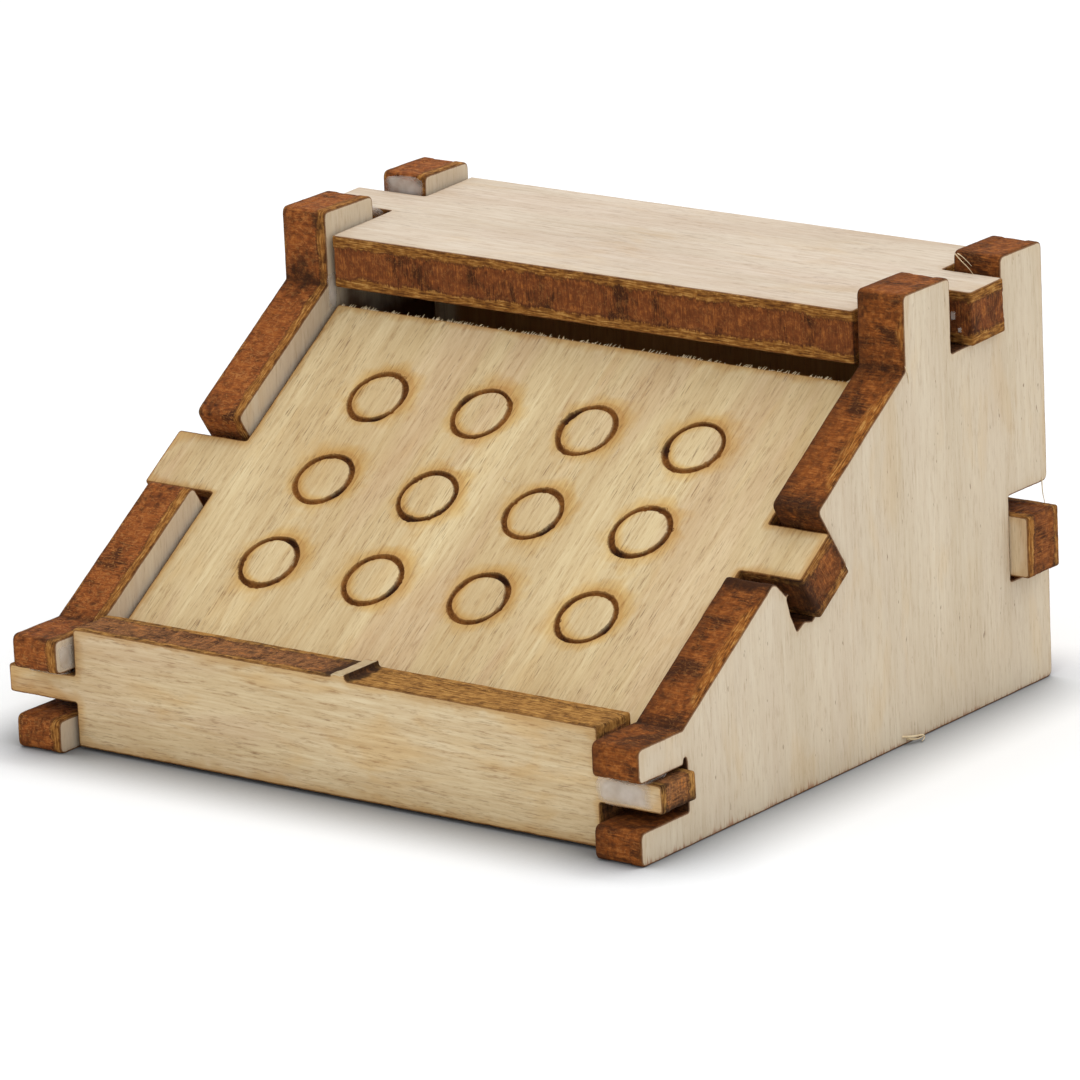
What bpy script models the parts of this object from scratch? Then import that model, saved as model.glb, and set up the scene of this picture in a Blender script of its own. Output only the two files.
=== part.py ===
"""Plywood desk case with a sloping face, slotted together from six laser-cut boards.

Two side panels stand on edge and carry open notches in their front, sloping, top and back edges.
Four boards span the case between them: the front board, the sloped panel, the top panel and the
back panel. Each has one tab at either end that sits in a notch and shows past the side panel.
The sloped panel has a grid of rings scored into its face. The case is open underneath.

X runs across the case, Y from the front to the back, Z up. The origin is in the middle of the
bounding box, at the height of the surface that the side panels stand on. All sizes are metres.
"""
import math

import bpy
import bmesh
from mathutils import Matrix, Vector

# ---- sheet and fits
SHEET = 0.0030                 # thickness of the plywood, the same for all six boards
FIT = 0.00025                  # gap left where one board bears on another
FOOT_GAP = 0.00020             # height of the cross boards above the surface under the case

# ---- side panel outline
CASE_WIDTH = 0.0422            # over the outer faces of the two side panels
CASE_DEPTH = 0.0385            # front edge to back edge of a side panel
CASE_HEIGHT = 0.0248           # bottom edge to top edge of a side panel
FRONT_HEIGHT = 0.00645         # height of the low front edge, below the slope
FRONT_FLAT = 0.00395           # level run between the front edge and the foot of the slope
TOP_LENGTH = 0.01335           # length of the level top edge
NECK_HEIGHT = 0.0042           # upright edge between the top of the slope and the top edge

# ---- how far each edge of a side panel stands out past the board that it holds
FRONT_LIP = 0.00125
SLOPE_LIP = 0.00130
TOP_LIP = 0.00120
BACK_LIP = 0.00080

# ---- notches in a side panel, each a distance along its edge and a width
FRONT_NOTCH_RISE = 0.0019      # from the bottom edge up
FRONT_NOTCH_WIDTH = 0.0026
SLOPE_NOTCH_START = 0.0102     # from the foot of the slope, along it
SLOPE_NOTCH_WIDTH = 0.0051
TOP_NOTCH_INSET = 0.0041       # from the back edge forward, to the notch's rear wall
TOP_NOTCH_WIDTH = 0.0048
BACK_NOTCH_RISE = 0.00645      # from the bottom edge up
BACK_NOTCH_WIDTH = 0.0048

# ---- play across a notch: how much wider it is than the tab in it
FRONT_TAB_PLAY = 0.00100
SLOPE_TAB_PLAY = 0.00170
TOP_TAB_PLAY = 0.00160
BACK_TAB_PLAY = 0.00130

# ---- boards between the side panels
LEFT_PLAY = 0.00025            # gap between a board's body and the left side panel
RIGHT_PLAY = 0.00050           # gap between a board's body and the right side panel
TAB_SHOW = 0.0010              # how far a centred pair of tabs reaches past the side panels' faces
FRONT_RISE = 0.00045           # top edge of the front board, above the side panels' front edge
FRONT_SHIFT = -0.00045         # sideways place of each pair of tabs; minus is towards the left
SLOPE_SHIFT = -0.00055
TOP_SHIFT = -0.00055
BACK_SHIFT = 0.00020
TOP_SETBACK = 0.00030          # front edge of the top panel, behind the neck of the side panels
SLOPE_STOP = 0.00020           # upper end of the sloped panel, short of the top of the slope

# ---- scored rings on the sloped panel
RING_COLUMNS = 4
RING_ROWS = 3
RING_COLUMN_PITCH = 0.00720
RING_ROW_PITCH = 0.00615
RING_RISE = 0.00045            # middle of the grid, above the middle of the panel
RING_OUTER_RADIUS = 0.00190
SCORE_WIDTH = 0.00040
SCORE_DEPTH = 0.00040
RING_SIDES = 36

# ---- places that follow from the sizes above
INNER_HALF = CASE_WIDTH / 2 - SHEET
BODY_LEFT = -INNER_HALF + LEFT_PLAY
BODY_RIGHT = INNER_HALF - RIGHT_PLAY
TAB_HALF = CASE_WIDTH / 2 + TAB_SHOW
NECK_Y = CASE_DEPTH - TOP_LENGTH
NECK_Z = CASE_HEIGHT - NECK_HEIGHT
SLOPE_ANGLE = math.atan2(NECK_Z - FRONT_HEIGHT, NECK_Y - FRONT_FLAT)
SLOPE_LENGTH = math.hypot(NECK_Z - FRONT_HEIGHT, NECK_Y - FRONT_FLAT)
TOP_UNDERSIDE = CASE_HEIGHT - TOP_LIP - SHEET
FRONT_BACK_FACE = FRONT_LIP + SHEET
BACK_FRONT_FACE = CASE_DEPTH - BACK_LIP - SHEET

SHIFTS = (FRONT_SHIFT, SLOPE_SHIFT, TOP_SHIFT, BACK_SHIFT)
LEFT_END = -TAB_HALF + min(SHIFTS)
RIGHT_END = TAB_HALF + max(SHIFTS)
CENTRE = Vector(((LEFT_END + RIGHT_END) / 2, CASE_DEPTH / 2, 0.0))

PALE_BIRCH = (0.68, 0.57, 0.40, 1.0)
WARM_BIRCH = (0.66, 0.54, 0.36, 1.0)
GREY_BIRCH = (0.60, 0.51, 0.38, 1.0)

# ---- the plane each board lies in: where its outline's axes and its thickness point
ACROSS = Vector((1, 0, 0))
BACKWARD = Vector((0, 1, 0))
UP = Vector((0, 0, 1))
UPHILL = Vector((0, math.cos(SLOPE_ANGLE), math.sin(SLOPE_ANGLE)))


def clear_scene():
    """Start from nothing, so that the script gives the same model each time."""
    for old in list(bpy.data.objects):
        bpy.data.objects.remove(old, do_unlink=True)


def new_collection(name):
    """A collection of its own for the boards or for the cutters."""
    collection = bpy.data.collections.new(name)
    bpy.context.scene.collection.children.link(collection)
    return collection


def birch(name, colour):
    """Bare birch plywood, a little different on each board."""
    material = bpy.data.materials.new(name)
    material.use_nodes = True
    surface = material.node_tree.nodes["Principled BSDF"]
    surface.inputs["Base Color"].default_value = colour
    surface.inputs["Roughness"].default_value = 0.72
    surface.inputs["Metallic"].default_value = 0.0
    material.diffuse_color = colour
    return material


def placed_in(along, upward, middle):
    """The matrix that lays an outline drawn in X and Y into the plane of two directions."""
    outward = along.cross(upward)
    matrix = Matrix((along, upward, outward)).transposed().to_4x4()
    matrix.translation = middle - CENTRE
    return matrix


def plate(name, outlines, thickness, matrix, collection):
    """A flat plate with the outlines given, centred on their plane; inner outlines are holes."""
    curve = bpy.data.curves.new(name, "CURVE")
    curve.dimensions = "2D"
    curve.fill_mode = "BOTH"
    curve.extrude = thickness / 2
    for outline in outlines:
        spline = curve.splines.new("POLY")
        spline.points.add(len(outline) - 1)
        for point, (x, y) in zip(spline.points, outline):
            point.co = (x, y, 0.0, 1.0)
        spline.use_cyclic_u = True
    drawn = bpy.data.objects.new(name + "_outline", curve)
    drawn.matrix_world = matrix
    bpy.context.scene.collection.objects.link(drawn)
    bpy.context.view_layer.update()

    evaluated = drawn.evaluated_get(bpy.context.evaluated_depsgraph_get())
    mesh = bpy.data.meshes.new_from_object(evaluated)
    mesh.name = name
    shape = bmesh.new()
    shape.from_mesh(mesh)
    bmesh.ops.remove_doubles(shape, verts=shape.verts, dist=0.000001)
    if len(outlines) == 1:
        # each flat side becomes a single face, with no thin triangles between corners in line
        for side in (-1, 1):
            flat = [face for face in shape.faces if all(side * v.co.z > 0 for v in face.verts)]
            bmesh.ops.dissolve_faces(shape, faces=flat)
    bmesh.ops.recalc_face_normals(shape, faces=shape.faces)
    shape.to_mesh(mesh)
    shape.free()

    solid = bpy.data.objects.new(name, mesh)
    solid.matrix_world = drawn.matrix_world
    collection.objects.link(solid)
    bpy.data.objects.remove(drawn, do_unlink=True)
    return solid


def on_slope(along, above):
    """A point in the side view, this far up the slope and this far out from its edge."""
    y = FRONT_FLAT + along * math.cos(SLOPE_ANGLE) - above * math.sin(SLOPE_ANGLE)
    z = FRONT_HEIGHT + along * math.sin(SLOPE_ANGLE) + above * math.cos(SLOPE_ANGLE)
    return (y, z)


def side_outline():
    """The side panel from its bottom front corner, up the front, over the top and down the back.

    Every notch is deep enough for the sheet, the lip in front of it and the fit behind it.
    """
    front_depth = FRONT_LIP + SHEET + FIT
    front_top = FRONT_NOTCH_RISE + FRONT_NOTCH_WIDTH
    front = [
        (0.0, 0.0),
        (0.0, FRONT_NOTCH_RISE),
        (front_depth, FRONT_NOTCH_RISE),
        (front_depth, front_top),
        (0.0, front_top),
        (0.0, FRONT_HEIGHT),
        (FRONT_FLAT, FRONT_HEIGHT),
    ]
    slope_depth = SLOPE_LIP + SHEET + FIT
    slope_end = SLOPE_NOTCH_START + SLOPE_NOTCH_WIDTH
    slope = [
        on_slope(SLOPE_NOTCH_START, 0.0),
        on_slope(SLOPE_NOTCH_START, -slope_depth),
        on_slope(slope_end, -slope_depth),
        on_slope(slope_end, 0.0),
    ]
    top_floor = TOP_UNDERSIDE - FIT
    top_rear = CASE_DEPTH - TOP_NOTCH_INSET
    top_front = top_rear - TOP_NOTCH_WIDTH
    top = [
        (NECK_Y, NECK_Z),
        (NECK_Y, CASE_HEIGHT),
        (top_front, CASE_HEIGHT),
        (top_front, top_floor),
        (top_rear, top_floor),
        (top_rear, CASE_HEIGHT),
        (CASE_DEPTH, CASE_HEIGHT),
    ]
    back_wall = BACK_FRONT_FACE - FIT
    back_top = BACK_NOTCH_RISE + BACK_NOTCH_WIDTH
    back = [
        (CASE_DEPTH, back_top),
        (back_wall, back_top),
        (back_wall, BACK_NOTCH_RISE),
        (CASE_DEPTH, BACK_NOTCH_RISE),
        (CASE_DEPTH, 0.0),
    ]
    return front + slope + top + back


def tabbed_outline(shift, bottom, top, tab_bottom, tab_top):
    """A board's outline: a plain body between the side panels, with one tab at each end."""
    right_end = shift + TAB_HALF
    left_end = shift - TAB_HALF
    return [
        (BODY_RIGHT, bottom),
        (BODY_RIGHT, tab_bottom),
        (right_end, tab_bottom),
        (right_end, tab_top),
        (BODY_RIGHT, tab_top),
        (BODY_RIGHT, top),
        (BODY_LEFT, top),
        (BODY_LEFT, tab_top),
        (left_end, tab_top),
        (left_end, tab_bottom),
        (BODY_LEFT, tab_bottom),
        (BODY_LEFT, bottom),
    ]


def side_panel(name, side, colour, collection):
    """One upright side panel; side is -1 for the left one and 1 for the right one."""
    middle = Vector((side * (CASE_WIDTH - SHEET) / 2, 0.0, 0.0))
    panel = plate(name, [side_outline()], SHEET, placed_in(BACKWARD, UP, middle), collection)
    panel.data.materials.append(birch(name + "_birch", colour))


def front_board(collection):
    """The low upright board across the front, a little higher than the side panels' fingers."""
    tab_top = FRONT_NOTCH_RISE + FRONT_NOTCH_WIDTH - FIT
    tab_bottom = tab_top - (FRONT_NOTCH_WIDTH - FRONT_TAB_PLAY)
    top = FRONT_HEIGHT + FRONT_RISE
    outline = tabbed_outline(FRONT_SHIFT, FOOT_GAP, top, tab_bottom, tab_top)
    middle = Vector((0.0, FRONT_LIP + SHEET / 2, 0.0))
    board = plate("front_board", [outline], SHEET, placed_in(ACROSS, UP, middle), collection)
    board.data.materials.append(birch("front_board_birch", WARM_BIRCH))


def circle(centre_x, centre_y, radius):
    """A ring line as a polygon."""
    turns = [2 * math.pi * side / RING_SIDES for side in range(RING_SIDES)]
    return [(centre_x + radius * math.cos(turn), centre_y + radius * math.sin(turn)) for turn in turns]


def ring_outlines(middle_along):
    """Outer and inner circles of every scored ring, in the sloped panel's own plane."""
    outlines = []
    for row in range(RING_ROWS):
        for column in range(RING_COLUMNS):
            x = SLOPE_SHIFT + (column - (RING_COLUMNS - 1) / 2) * RING_COLUMN_PITCH
            y = middle_along + (row - (RING_ROWS - 1) / 2) * RING_ROW_PITCH
            outlines.append(circle(x, y, RING_OUTER_RADIUS))
            outlines.append(circle(x, y, RING_OUTER_RADIUS - SCORE_WIDTH))
    return outlines


def sloped_panel(collection, cutters):
    """The board on the slope: it starts behind the front board and stops below the top panel."""
    clear_of_front = FRONT_BACK_FACE + FIT - FRONT_FLAT - SLOPE_LIP * math.sin(SLOPE_ANGLE)
    bottom = max(0.0, clear_of_front / math.cos(SLOPE_ANGLE))
    top = SLOPE_LENGTH - SLOPE_STOP
    tab_top = SLOPE_NOTCH_START + SLOPE_NOTCH_WIDTH - FIT
    tab_bottom = tab_top - (SLOPE_NOTCH_WIDTH - SLOPE_TAB_PLAY)
    outline = tabbed_outline(SLOPE_SHIFT, bottom, top, tab_bottom, tab_top)

    foot = Vector((0.0, FRONT_FLAT, FRONT_HEIGHT))
    outward = ACROSS.cross(UPHILL)
    middle = foot - outward * (SLOPE_LIP + SHEET / 2)
    board = plate("sloped_panel", [outline], SHEET, placed_in(ACROSS, UPHILL, middle), collection)
    board.data.materials.append(birch("sloped_panel_birch", PALE_BIRCH))

    face = foot - outward * SLOPE_LIP
    rings = ring_outlines((bottom + top) / 2 + RING_RISE)
    score = plate("ring_score", rings, 2 * SCORE_DEPTH, placed_in(ACROSS, UPHILL, face), cutters)
    score.hide_render = True
    score.display_type = "WIRE"
    cut = board.modifiers.new("scored rings", "BOOLEAN")
    cut.operation = "DIFFERENCE"
    cut.solver = "EXACT"
    cut.object = score


def top_panel(collection):
    """The level board behind the neck of the side panels, flush with their back edges."""
    tab_rear = CASE_DEPTH - TOP_NOTCH_INSET - FIT
    tab_front = tab_rear - (TOP_NOTCH_WIDTH - TOP_TAB_PLAY)
    outline = tabbed_outline(TOP_SHIFT, NECK_Y + TOP_SETBACK, CASE_DEPTH, tab_front, tab_rear)
    middle = Vector((0.0, 0.0, TOP_UNDERSIDE + SHEET / 2))
    board = plate("top_panel", [outline], SHEET, placed_in(ACROSS, BACKWARD, middle), collection)
    board.data.materials.append(birch("top_panel_birch", PALE_BIRCH))


def back_panel(collection):
    """The upright board across the back, reaching up to the underside of the top panel."""
    tab_bottom = BACK_NOTCH_RISE + FIT
    tab_top = tab_bottom + BACK_NOTCH_WIDTH - BACK_TAB_PLAY
    outline = tabbed_outline(BACK_SHIFT, FOOT_GAP, TOP_UNDERSIDE - FIT, tab_bottom, tab_top)
    middle = Vector((0.0, BACK_FRONT_FACE + SHEET / 2, 0.0))
    board = plate("back_panel", [outline], SHEET, placed_in(ACROSS, UP, middle), collection)
    board.data.materials.append(birch("back_panel_birch", GREY_BIRCH))


def build():
    clear_scene()
    boards = new_collection("plywood_sloped_case")
    cutters = new_collection("cutters")
    side_panel("left_side_panel", -1, WARM_BIRCH, boards)
    side_panel("right_side_panel", 1, GREY_BIRCH, boards)
    front_board(boards)
    sloped_panel(boards, cutters)
    top_panel(boards)
    back_panel(boards)


build()
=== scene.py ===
# %% [markdown]
# # A small sloped case of laser-cut plywood
#
# The real object is six little boards cut from one sheet of birch plywood and glued together at
# their tabs. This lesson takes the plain boards of a packed CAD model and gives them what a laser
# and a sheet of veneer leave behind: burnt, rounded edges, scored rings, grain and glue.
#
# The CAD model comes first, as a frame that never moves. Everything below is measured from it.

# %% Load the plain boards
import math

import bmesh
import bpy
import numpy as np
from mathutils import Matrix, Quaternion, Vector, geometry, noise


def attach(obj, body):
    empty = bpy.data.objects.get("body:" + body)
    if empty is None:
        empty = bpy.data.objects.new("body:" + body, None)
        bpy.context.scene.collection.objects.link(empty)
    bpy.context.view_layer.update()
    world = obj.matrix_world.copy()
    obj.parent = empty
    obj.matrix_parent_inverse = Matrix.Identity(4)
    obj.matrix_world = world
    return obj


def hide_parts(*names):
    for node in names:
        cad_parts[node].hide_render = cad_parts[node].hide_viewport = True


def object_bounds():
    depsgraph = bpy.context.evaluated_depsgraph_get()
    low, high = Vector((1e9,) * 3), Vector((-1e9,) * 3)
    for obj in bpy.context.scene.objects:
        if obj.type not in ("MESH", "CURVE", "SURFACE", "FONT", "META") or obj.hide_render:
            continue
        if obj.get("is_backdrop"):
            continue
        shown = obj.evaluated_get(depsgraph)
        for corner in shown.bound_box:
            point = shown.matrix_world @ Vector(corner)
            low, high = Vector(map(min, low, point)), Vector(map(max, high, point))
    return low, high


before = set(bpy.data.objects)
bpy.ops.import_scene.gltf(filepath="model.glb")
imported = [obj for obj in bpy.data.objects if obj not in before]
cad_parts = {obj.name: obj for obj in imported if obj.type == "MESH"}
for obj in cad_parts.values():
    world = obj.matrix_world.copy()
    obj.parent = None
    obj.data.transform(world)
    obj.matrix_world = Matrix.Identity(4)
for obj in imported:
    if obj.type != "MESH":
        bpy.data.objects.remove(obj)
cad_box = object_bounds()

MM = 0.001
print("CAD boards:", sorted(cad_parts))

# %% [markdown]
# ## Reading a board
#
# A board is a flat outline with a thickness, so it is easiest to work in its own flat drawing:
# `along` and `up` lie in the sheet, and `outward` is the side that the eye sees. We could type the
# outlines in again, but then the looks and the CAD model could drift apart. So we find the corners
# in the CAD mesh: a line of the flat side that only one triangle uses is part of the outline.

# %% A board's own directions, thickness and outline
class Board:
    """One board of the frame in its own drawing, in millimetres round its own middle."""

    def __init__(self, name, along, facing):
        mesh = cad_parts[name].data
        seen = [face for face in mesh.polygons if face.normal.dot(facing) > 0.5]
        outward = max(seen, key=lambda face: face.area).normal.normalized()
        along = along.normalized()
        self.name = name
        self.axes = Matrix((along, outward.cross(along), outward))
        places = np.array([self.axes @ vertex.co for vertex in mesh.vertices])
        middle = (places.min(0) + places.max(0)) / 2
        self.places = (places - middle) / MM
        self.size = np.ptp(self.places, axis=0)
        self.half = self.size[2] / 2
        self.matrix = self.axes.transposed().to_4x4()
        self.matrix.translation = self.axes.transposed() @ Vector(middle)
        self.outline = self.find_outline(mesh, outward)
        self.bare, self.gilt, self.scorched = [], [], []

    def find_outline(self, mesh, outward):
        """Corners of the hidden flat side, which no score line crosses, turning to the left."""
        edges = {}
        for face in mesh.polygons:
            if face.normal.dot(outward) < -0.99:
                corners = [tuple(np.round(self.places[i][:2], 3)) for i in face.vertices]
                for start, end in zip(corners, corners[1:] + corners[:1]):
                    if edges.get(end) and start in edges[end]:
                        edges[end].remove(start)
                    else:
                        edges.setdefault(start, []).append(end)
        start = next(corner for corner in edges if edges[corner])
        loop = [start]
        while edges[loop[-1]][0] != start:
            loop.append(edges[loop[-1]][0])
        loop = np.array(loop[::-1])
        before = loop - np.roll(loop, 1, axis=0)
        after = np.roll(loop, -1, axis=0) - loop
        turns = np.abs(before[:, 0] * after[:, 1] - before[:, 1] * after[:, 0]) > 0.001
        return loop[turns]

    def to_drawing(self, point):
        """A place in the frame, in this board's drawing."""
        return np.array(self.matrix.inverted() @ Vector(point)) / MM


ACROSS = Vector((1, 0, 0))
BACKWARD = Vector((0, 1, 0))
UP = Vector((0, 0, 1))

boards = {
    "left_side_panel": Board("left_side_panel", BACKWARD, ACROSS),
    "right_side_panel": Board("right_side_panel", BACKWARD, ACROSS),
    "front_board": Board("front_board", ACROSS, -BACKWARD),
    "sloped_panel": Board("sloped_panel", ACROSS, UP - BACKWARD),
    "top_panel": Board("top_panel", ACROSS, UP),
    "back_panel": Board("back_panel", -ACROSS, BACKWARD),
}
for board in boards.values():
    print(board.name, "is", np.round(board.size, 2), "mm with", len(board.outline), "corners")

# %% [markdown]
# ## A top board that dried crooked
#
# Nothing holds the top board while its glue dries, so it set two degrees out of level, with its
# rear edge high. That is too small to matter in the CAD model but easy to see along a straight
# edge. Turning the board's matrix turns everything that is later placed by it.

# %% Tip the top board up
def tip_up(board, degrees, from_front):
    """Turn a level board about a line across it, so many millimetres behind its front edge."""
    middle = board.matrix.translation
    line = Vector((0, middle.y + (from_front - board.size[1] / 2) * MM, middle.z))
    turn = Matrix.Rotation(math.radians(degrees), 4, "X")
    board.matrix = Matrix.Translation(line) @ turn @ Matrix.Translation(-line) @ board.matrix
    print(board.name, "tips up", degrees, "degrees")


tip_up(boards["top_panel"], degrees=2.2, from_front=4.5)

# %% [markdown]
# ## Tabs that bear on their notches
#
# The CAD boards keep a quarter of a millimetre of air where they bear on each other, because its
# solids may not touch. The glued case has none there, and a black line would show. The floor of
# each notch is raised to the hidden face of the board that lies on it.

# %% Raise the notch floors to the boards
REACH = 0.60  # how far behind a crossing board a notch floor may lie, in millimetres


def seat_notches(side, crossing):
    """Move the notch corners that lie just behind a crossing board onto that board's hidden face."""
    tab = crossing.outline[np.abs(crossing.outline[:, 0]) > crossing.size[0] / 2 - REACH]
    low, high = tab[:, 1].min() - 2.0, tab[:, 1].max() + 2.0
    for index, (x, y) in enumerate(side.outline):
        place = side.matrix @ (Vector((x, y, 0)) * MM)
        local = crossing.to_drawing(place)
        behind = -crossing.half - local[2]
        if 0.05 < behind < REACH and low < local[1] < high:
            local[2] = -crossing.half
            seated = side.to_drawing(crossing.matrix @ (Vector(local) * MM))
            side.outline[index] = seated[:2]
            print(side.name, "corner", index, "raised to", crossing.name)


for side in ("left_side_panel", "right_side_panel"):
    for crossing in ("front_board", "sloped_panel", "top_panel", "back_panel"):
        seat_notches(boards[side], boards[crossing])

# %% [markdown]
# The back board closes the case. Between its tabs it is widened until it touches both side panels,
# or daylight would show through two slits when the case is seen from the front.

# %% Close the back
def close_gaps(board, left_side, right_side):
    """Widen the board between its tabs until it touches both side panels."""
    for side, sign in ((left_side, 1), (right_side, -1)):
        inner = board.to_drawing(side.matrix.translation)[0] - sign * side.half
        ends = np.abs(board.outline[:, 0] - inner) < 1.0
        board.outline[ends, 0] = inner
        print(board.name, "now ends at", round(float(inner), 2), "mm, at", side.name)


close_gaps(boards["back_panel"], boards["left_side_panel"], boards["right_side_panel"])

# %% [markdown]
# ## The line a laser leaves
#
# A drawn corner is sharp, but the beam burns it round, and it wanders a few hundredths of a
# millimetre where the wood is harder. The drawn outline is turned into many short steps: arcs at
# the corners, then a little noise outwards and inwards. Outer corners lose more wood than inner
# corners, and the fingers of the side panels lose the most, so each board has a radius of its own.

# %% Round and divide an outline
INNER_CORNER = 0.12
ARC_POINTS = 6
STEP = 0.20


def turned_corner(before, corner, after, outer_radius):
    """Points of the arc that replaces a corner, with this radius if it is an outer corner."""
    back = (before - corner) / np.linalg.norm(before - corner)
    ahead = (after - corner) / np.linalg.norm(after - corner)
    turn = -back[0] * ahead[1] + back[1] * ahead[0]
    radius = outer_radius if turn > 0 else INNER_CORNER
    room = min(np.linalg.norm(before - corner), np.linalg.norm(after - corner)) * 0.45
    half_turn = math.acos(np.clip(-back @ ahead, -1, 1)) / 2
    reach = min(radius * math.tan(half_turn), room)
    start, end = corner + back * reach, corner + ahead * reach
    shares = np.linspace(0, 1, ARC_POINTS)[:, None]
    return (1 - shares) ** 2 * start + 2 * shares * (1 - shares) * corner + shares ** 2 * end


def divided(points):
    """A closed line cut into short steps."""
    made = []
    for start, end in zip(points, np.roll(points, -1, axis=0)):
        count = max(1, math.ceil(np.linalg.norm(end - start) / STEP))
        made += [start + (end - start) * share / count for share in range(count)]
    return np.array(made)


slope_outline = boards["sloped_panel"].outline
print("The slope board's outline:", len(slope_outline), "corners,", len(divided(slope_outline)), "steps")

# %% [markdown]
# The wander is smooth noise, read at two scales along the line: a slow drift of the beam, and the
# fine chatter of hard and soft wood. Each point moves along its own outward direction.

# %% Roughen an outline
ROUGHNESS = 0.02


def outward_normals(line):
    """The direction away from the wood at each point of a closed line that turns to the left."""
    run = np.roll(line, -1, axis=0) - np.roll(line, 1, axis=0)
    run /= np.maximum(np.linalg.norm(run, axis=1), 1e-9)[:, None]
    return np.stack([run[:, 1], -run[:, 0]], axis=1)


def noise_at(points, scale, seed):
    """Smooth noise from about -1 to 1 at places in a drawing."""
    places = [Vector((x * scale, y * scale, seed)) for x, y in points]
    return np.array([noise.noise(place) for place in places]) * 1.6


def burnt_line(corners, seed, outer_radius):
    """The outline as the beam really cut it."""
    neighbours = zip(np.roll(corners, 1, axis=0), corners, np.roll(corners, -1, axis=0))
    line = divided(np.concatenate([turned_corner(*three, outer_radius) for three in neighbours]))
    wander = noise_at(line, 0.9, seed) * 0.6 + noise_at(line, 3.7, seed + 5) * 0.4
    return line + outward_normals(line) * (wander * ROUGHNESS)[:, None]


moved = burnt_line(slope_outline, seed=1, outer_radius=0.2)
print("The same outline, burnt, has", len(moved), "points and is", np.round(np.ptp(moved, axis=0), 2), "mm")

# %% [markdown]
# ## Where the cut went wrong
#
# A perfect outline would look drawn, not cut. Each slip of the beam moves or adds a few corners in
# the outline of one board. The corners are found by their place in the drawing, because their
# numbers change with every slip.

# %% Find and replace corners
def corner_near(board, x, y):
    """Number of the outline corner closest to a place in the board's drawing."""
    return int(np.argmin(np.linalg.norm(board.outline - (x, y), axis=1)))


def recut(board, first, last, points):
    """Replace the corners from first to last by other points, still turning to the left."""
    board.outline = np.concatenate([board.outline[:first], np.array(points), board.outline[last + 1:]])


print("The front board's top right corner is number", corner_near(boards["front_board"], 18.0, 3.3))

# %% [markdown]
# On the right side panel the beam left a tooth and a spike in the slope's notch, and it ran past a
# corner of the front notch.

# %% Slips on the right side panel
# the downhill wall of the slope's notch: wood left standing, and depth in the notch
TORN_WALL = ((0.75, 3.80), (0.0, 3.72), (0.12, 2.62), (0.32, 2.03), (0.42, 1.68), (0.74, 1.52),
             (0.46, 1.40), (0.33, 0.75), (0.22, 0.30), (0.0, 0.0))
STANDING_AT_FLOOR = 1.25


def tear_slope_notch(board):
    """A torn downhill wall, from the floor of the slope's notch to its outer corner."""
    outer, floor = corner_near(board, -6.8, -0.3), corner_near(board, -4.4, -3.9)
    corner, inwards = board.outline[outer].copy(), board.outline[floor] - board.outline[outer]
    depth = np.linalg.norm(inwards)
    inwards = inwards / depth
    uphill = np.array((-inwards[1], inwards[0]))
    torn = [(STANDING_AT_FLOOR, depth), *TORN_WALL]
    recut(board, floor, outer, [corner + standing * uphill + deep * inwards for standing, deep in torn])


def overrun_front_notch(board):
    """A short slit above the inner corner of the front notch."""
    corner = corner_near(board, -15.0, -7.9)
    x, y = board.outline[corner]
    recut(board, corner, corner, [(x - 0.28, y), (x - 0.22, y + 0.36), (x - 0.06, y + 0.34), (x, y)])


tear_slope_notch(boards["right_side_panel"])
overrun_front_notch(boards["right_side_panel"])
print("The right side panel now has", len(boards["right_side_panel"].outline), "corners")

# %% [markdown]
# The sloped board's left tab came out wider than the right one. On the front board the beam left a
# small bridge, which was snapped off by hand: its stump is bare wood, and the edge to its right is
# lower and only scorched golden.

# %% Slips on the slope and the front board
# the stump of the bridge, right to left: place along the edge and height above it
STUMP = ((0.10, -0.08), (0.0, 0.0), (-0.06, 0.30), (-0.4, 0.18), (-0.8, 0.22), (-1.1, 0.06), (-1.3, 0.03))
STUMP_MIDDLE, STUMP_REACH = -0.55, 0.48


def widen_left_tab(board, top_drop, bottom_drop):
    """Lower the two edges of the sloped board's left tab, which fills more of its notch."""
    for y, drop in ((2.41, top_drop), (-0.99, bottom_drop)):
        for x in (-17.3, -22.1):
            board.outline[corner_near(board, x, y), 1] -= drop


def leave_bridge(board, place):
    """The stump of a snapped bridge on the top edge, this far to the right of the middle."""
    right, left = corner_near(board, 18.0, 3.3), corner_near(board, -17.4, 3.3)
    top, start, end = board.size[1] / 2, board.outline[right][0], board.outline[left][0]
    bridge = [(place + along, top + height) for along, height in STUMP]
    recut(board, right, left, [(start, top - 0.08), *bridge, (end, top + 0.03)])
    board.bare.append((place + STUMP_MIDDLE, top, STUMP_REACH))
    board.gilt.append((place + 0.15, top - 0.5))


widen_left_tab(boards["sloped_panel"], top_drop=0.22, bottom_drop=0.75)
leave_bridge(boards["front_board"], 1.47)
print("The front board now has", len(boards["front_board"].outline), "corners")

# %% [markdown]
# In a few places the beam stood still for a moment and charred the wood round it: at the corners
# of the slope's right tab, of its notch in the side panel and of the front board's right tab.

# %% Scorched corners
def linger(board, x, y, reach, level):
    """Extra char round a place where the beam stood still."""
    board.scorched.append((x, y, reach, level))


linger(boards["sloped_panel"], 22.1, -0.99, reach=1.1, level=0.55)
linger(boards["sloped_panel"], 22.1, 2.41, reach=0.5, level=0.4)
linger(boards["right_side_panel"], -2.57, 2.54, reach=1.2, level=0.45)
linger(boards["right_side_panel"], -6.82, -0.29, reach=0.9, level=0.40)
linger(boards["front_board"], 22.1, -0.9, reach=0.7, level=0.5)
print(sum(len(board.scorched) for board in boards.values()), "places are scorched")

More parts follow.
